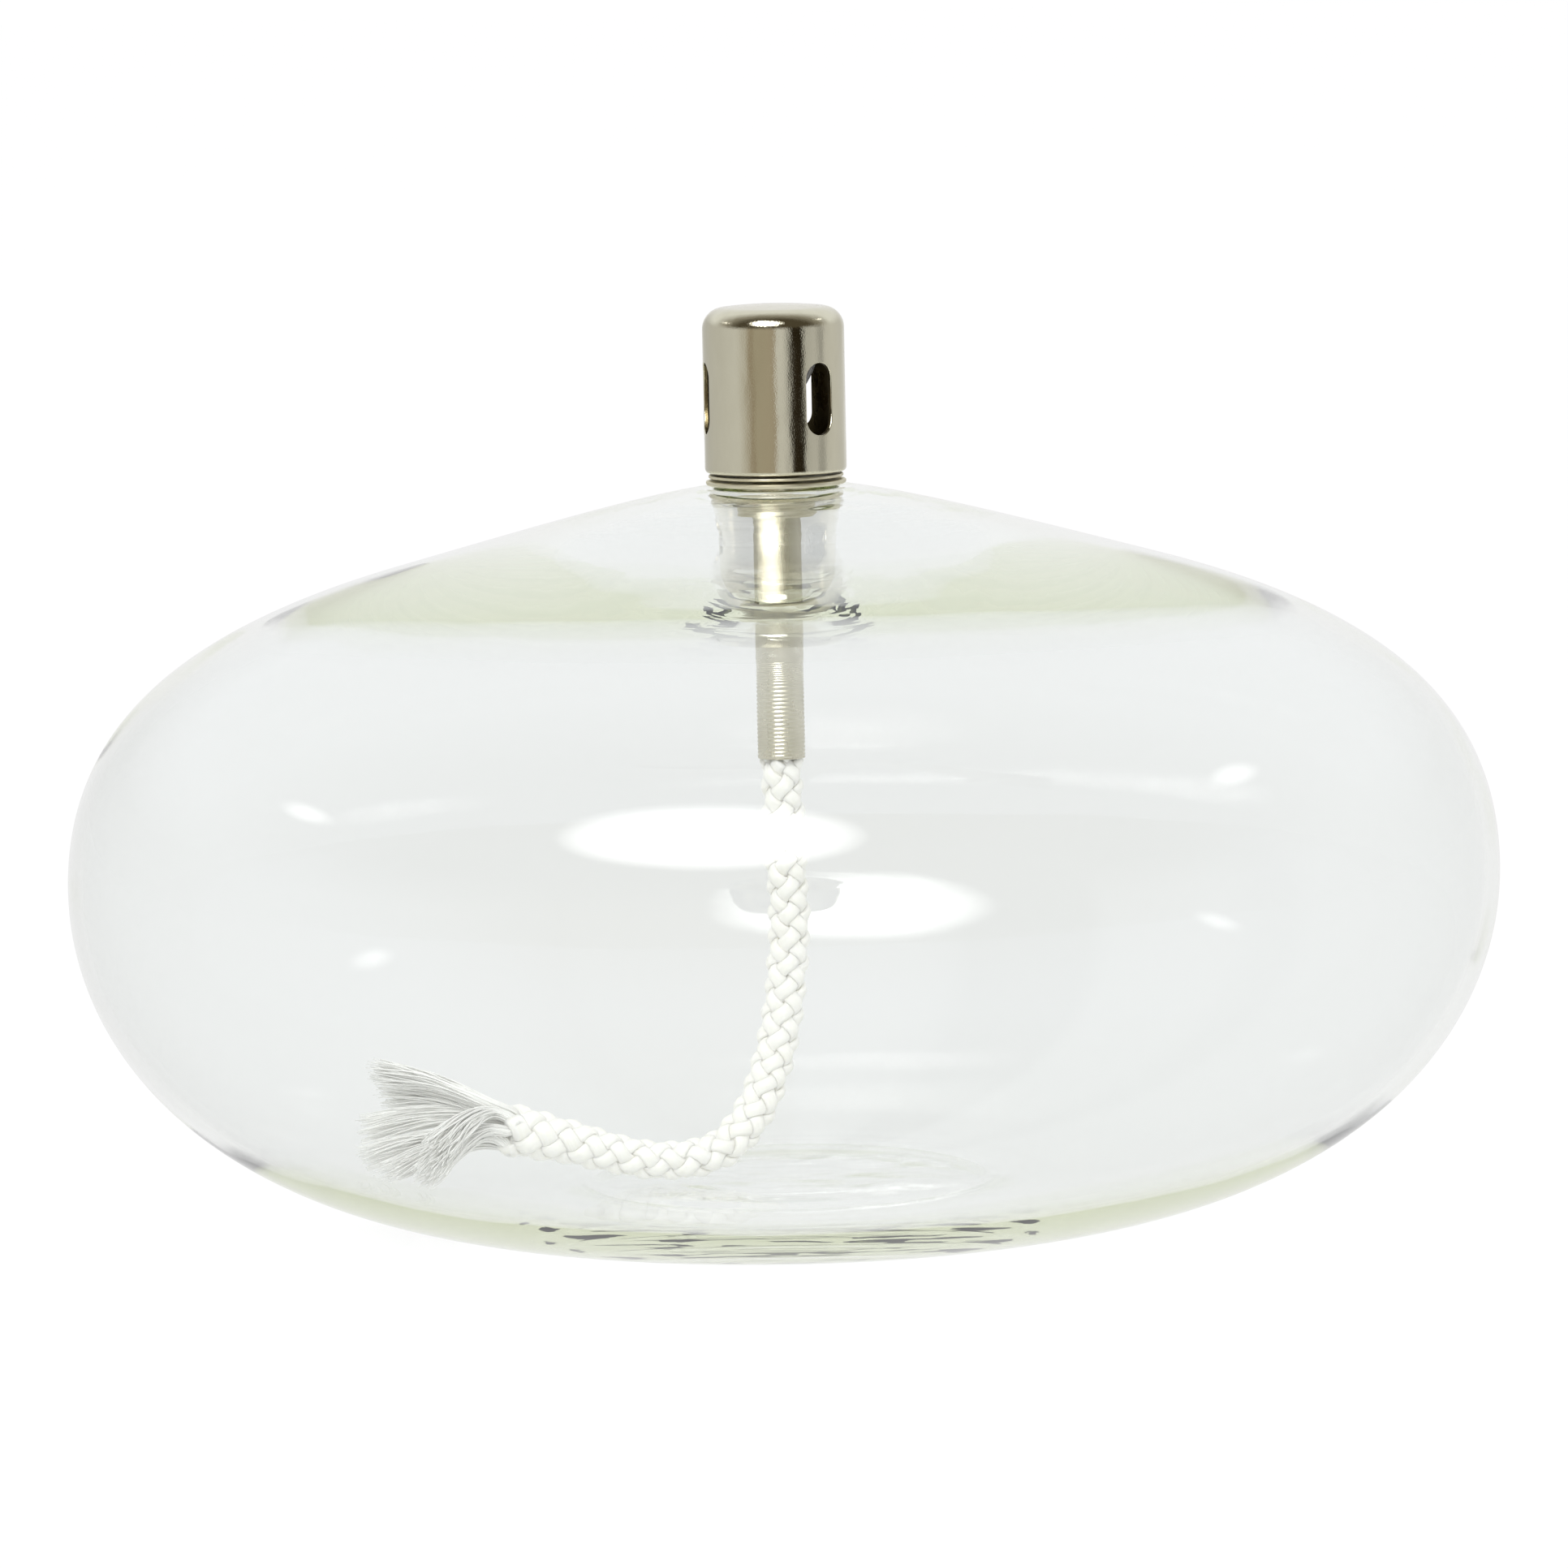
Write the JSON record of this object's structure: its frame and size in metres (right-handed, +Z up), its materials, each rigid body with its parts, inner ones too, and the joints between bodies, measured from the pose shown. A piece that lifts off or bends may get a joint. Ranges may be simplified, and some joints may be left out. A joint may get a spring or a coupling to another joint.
{
  "type": "oil lamp",
  "caption": "Flattened round clear-glass oil lamp with a lift-out metal burner, a slotted hood and a braided wick that hangs to the floor of the vessel.",
  "frame": {"origin": "centre of the base on the surface the lamp stands on, on the vessel's axis", "axes": "+Z up along the vessel's and burner's common axis; the wick's tail lies towards -X; -Y is the side that the picture shows"},
  "size_m": [0.18, 0.18, 0.1152],
  "materials": {
    "glass": "clear polished blown glass, faintly green in the thick floor and neck",
    "nickel": "warm bright nickel plating",
    "threaded_steel": "satin nickel-plated steel with a fine thread",
    "wick": "off-white braided glass fibre with silky strands"
  },
  "bodies": {
    "vessel": {"glass_vessel": "glass"},
    "mouth_ring": {"mouth_ring": "nickel"},
    "burner": {"burner_flange": "nickel", "clamp_collar": "nickel", "wick_tube": "threaded_steel", "lock_nut": "threaded_steel"},
    "hood": {"burner_hood": "nickel"},
    "wick": {"wick_core": "wick", "wick_tail": "wick", "wick_tip_yarn_1": "wick", "wick_tip_yarn_2": "wick", "wick_tip_yarn_3": "wick", "wick_tip_yarn_4": "wick", "wick_tip_yarn_5": "wick", "wick_tip_yarn_6": "wick", "wick_tip_yarn_7": "wick", "wick_tip_yarn_8": "wick", "wick_tail_yarn_1": "wick", "wick_tail_yarn_2": "wick", "wick_tail_yarn_3": "wick", "wick_tail_yarn_4": "wick", "wick_tail_yarn_5": "wick", "wick_tail_yarn_6": "wick", "wick_tail_yarn_7": "wick", "wick_tail_yarn_8": "wick"}
  },
  "joints": [
    {"name": "burner_turn", "type": "hinge", "parent": "vessel", "child": "mouth_ring", "pos_m": [0, 0, 0.0926], "axis": [0, 0, 1], "continuous": true},
    {"name": "burner_lift", "type": "slide", "parent": "mouth_ring", "child": "burner", "axis": [0, 0, 1], "range_m": [0, 0.04]},
    {"name": "hood_lift", "type": "slide", "parent": "burner", "child": "hood", "axis": [0, 0, 1], "range_m": [0, 0.025]},
    {"name": "wick_feed", "type": "slide", "parent": "burner", "child": "wick", "axis": [0, 0, 1], "range_m": [0, 0.003], "deforming": ["wick_tail"]}
  ]
}
